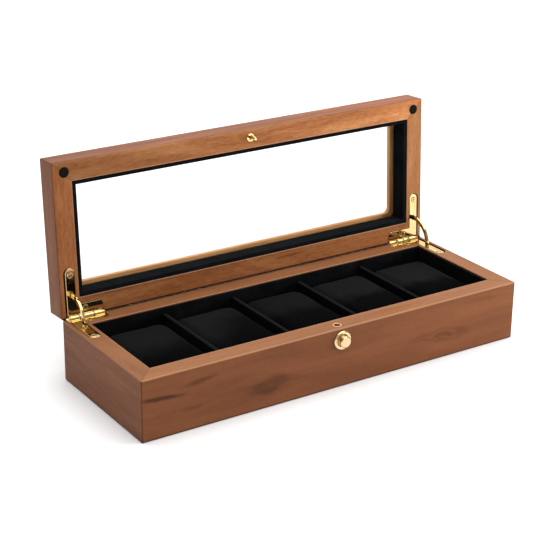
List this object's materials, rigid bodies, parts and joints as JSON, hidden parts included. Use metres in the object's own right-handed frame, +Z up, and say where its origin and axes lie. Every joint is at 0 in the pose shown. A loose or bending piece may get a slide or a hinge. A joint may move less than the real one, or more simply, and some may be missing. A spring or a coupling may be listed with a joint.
{
  "type": "watch box",
  "caption": "Wooden watch box with a hinged glazed lid, velvet-lined cells with loose cushions, quadrant hinges with curved stays and a push-button catch.",
  "frame": {"origin": "on the table under the middle of the base's footprint", "axes": "+X along the length to the right seen from the front, +Y from the front wall to the hinges, +Z up; the lid is stored open"},
  "size_m": [0.32, 0.1449, 0.1589],
  "materials": {
    "walnut": "satin",
    "panel": "matte",
    "felt": "felt",
    "velvet": "velvet",
    "cushion": "velvet",
    "gold": "polished",
    "spring_steel": "plain",
    "glass": "clear",
    "bumper": "matte"
  },
  "bodies": {
    "base": {"front_wall": "walnut", "back_wall": "walnut", "left_wall": "walnut", "right_wall": "walnut", "bottom_panel": "panel", "underside_felt": "felt", "floor_lining": "velvet", "front_lining": "velvet", "back_lining": "velvet", "left_lining": "velvet", "right_lining": "velvet", "divider_1": "velvet", "divider_2": "velvet", "divider_3": "velvet", "divider_4": "velvet", "left_base_leaf": "gold", "right_base_leaf": "gold", "left_hinge_pin": "gold", "right_hinge_pin": "gold", "base_hinge_screws": "gold", "rim_ferrule": "gold", "lock_housing": "gold", "lock_bezel": "gold", "lock_spring": "spring_steel"},
    "lid": {"lid_front_rail": "walnut", "lid_back_rail": "walnut", "lid_left_stile": "walnut", "lid_right_stile": "walnut", "glass_pane": "glass", "front_retainer": "velvet", "back_retainer": "velvet", "left_retainer": "velvet", "right_retainer": "velvet", "left_lid_leaf": "gold", "right_lid_leaf": "gold", "lid_hinge_screws": "gold", "catch_stud": "gold", "lid_bumpers": "bumper"},
    "push_button": {"push_button": "gold", "latch_hook": "spring_steel"},
    "left_stay": {"left_stay": "gold"},
    "right_stay": {"right_stay": "gold"},
    "cushion_1": {"watch_cushion_1": "cushion"},
    "cushion_2": {"watch_cushion_2": "cushion"},
    "cushion_3": {"watch_cushion_3": "cushion"},
    "cushion_4": {"watch_cushion_4": "cushion"},
    "cushion_5": {"watch_cushion_5": "cushion"}
  },
  "joints": [
    {"name": "lid_hinge", "type": "hinge", "parent": "base", "child": "lid", "pos_m": [0, 0.057, 0.04515], "axis": [-1, 0, 0], "range_deg": [-93.2, 0]},
    {"name": "left_stay_swing", "type": "hinge", "parent": "base", "child": "left_stay", "pos_m": [-0.1518, 0.057, 0.04515], "axis": [-1, 0, 0], "range_deg": [-46.6, 0]},
    {"name": "right_stay_swing", "type": "hinge", "parent": "base", "child": "right_stay", "pos_m": [0.1518, 0.057, 0.04515], "axis": [-1, 0, 0], "range_deg": [-46.6, 0]},
    {"name": "button_press", "type": "slide", "parent": "base", "child": "push_button", "axis": [0, 1, 0], "range_m": [0, 0.0016], "stiffness_N_per_m": 400, "springref_m": -0.003, "deforming": ["lock_spring"]},
    {"name": "cushion_1_lift", "type": "slide", "parent": "base", "child": "cushion_1", "axis": [0, 0, 1], "range_m": [0, 0.05]},
    {"name": "cushion_2_lift", "type": "slide", "parent": "base", "child": "cushion_2", "axis": [0, 0, 1], "range_m": [0, 0.05]},
    {"name": "cushion_3_lift", "type": "slide", "parent": "base", "child": "cushion_3", "axis": [0, 0, 1], "range_m": [0, 0.05]},
    {"name": "cushion_4_lift", "type": "slide", "parent": "base", "child": "cushion_4", "axis": [0, 0, 1], "range_m": [0, 0.05]},
    {"name": "cushion_5_lift", "type": "slide", "parent": "base", "child": "cushion_5", "axis": [0, 0, 1], "range_m": [0, 0.05]}
  ],
  "couplings": [
    {"joint": "left_stay_swing", "follows": "lid_hinge", "ratio": 0.5},
    {"joint": "right_stay_swing", "follows": "lid_hinge", "ratio": 0.5}
  ]
}
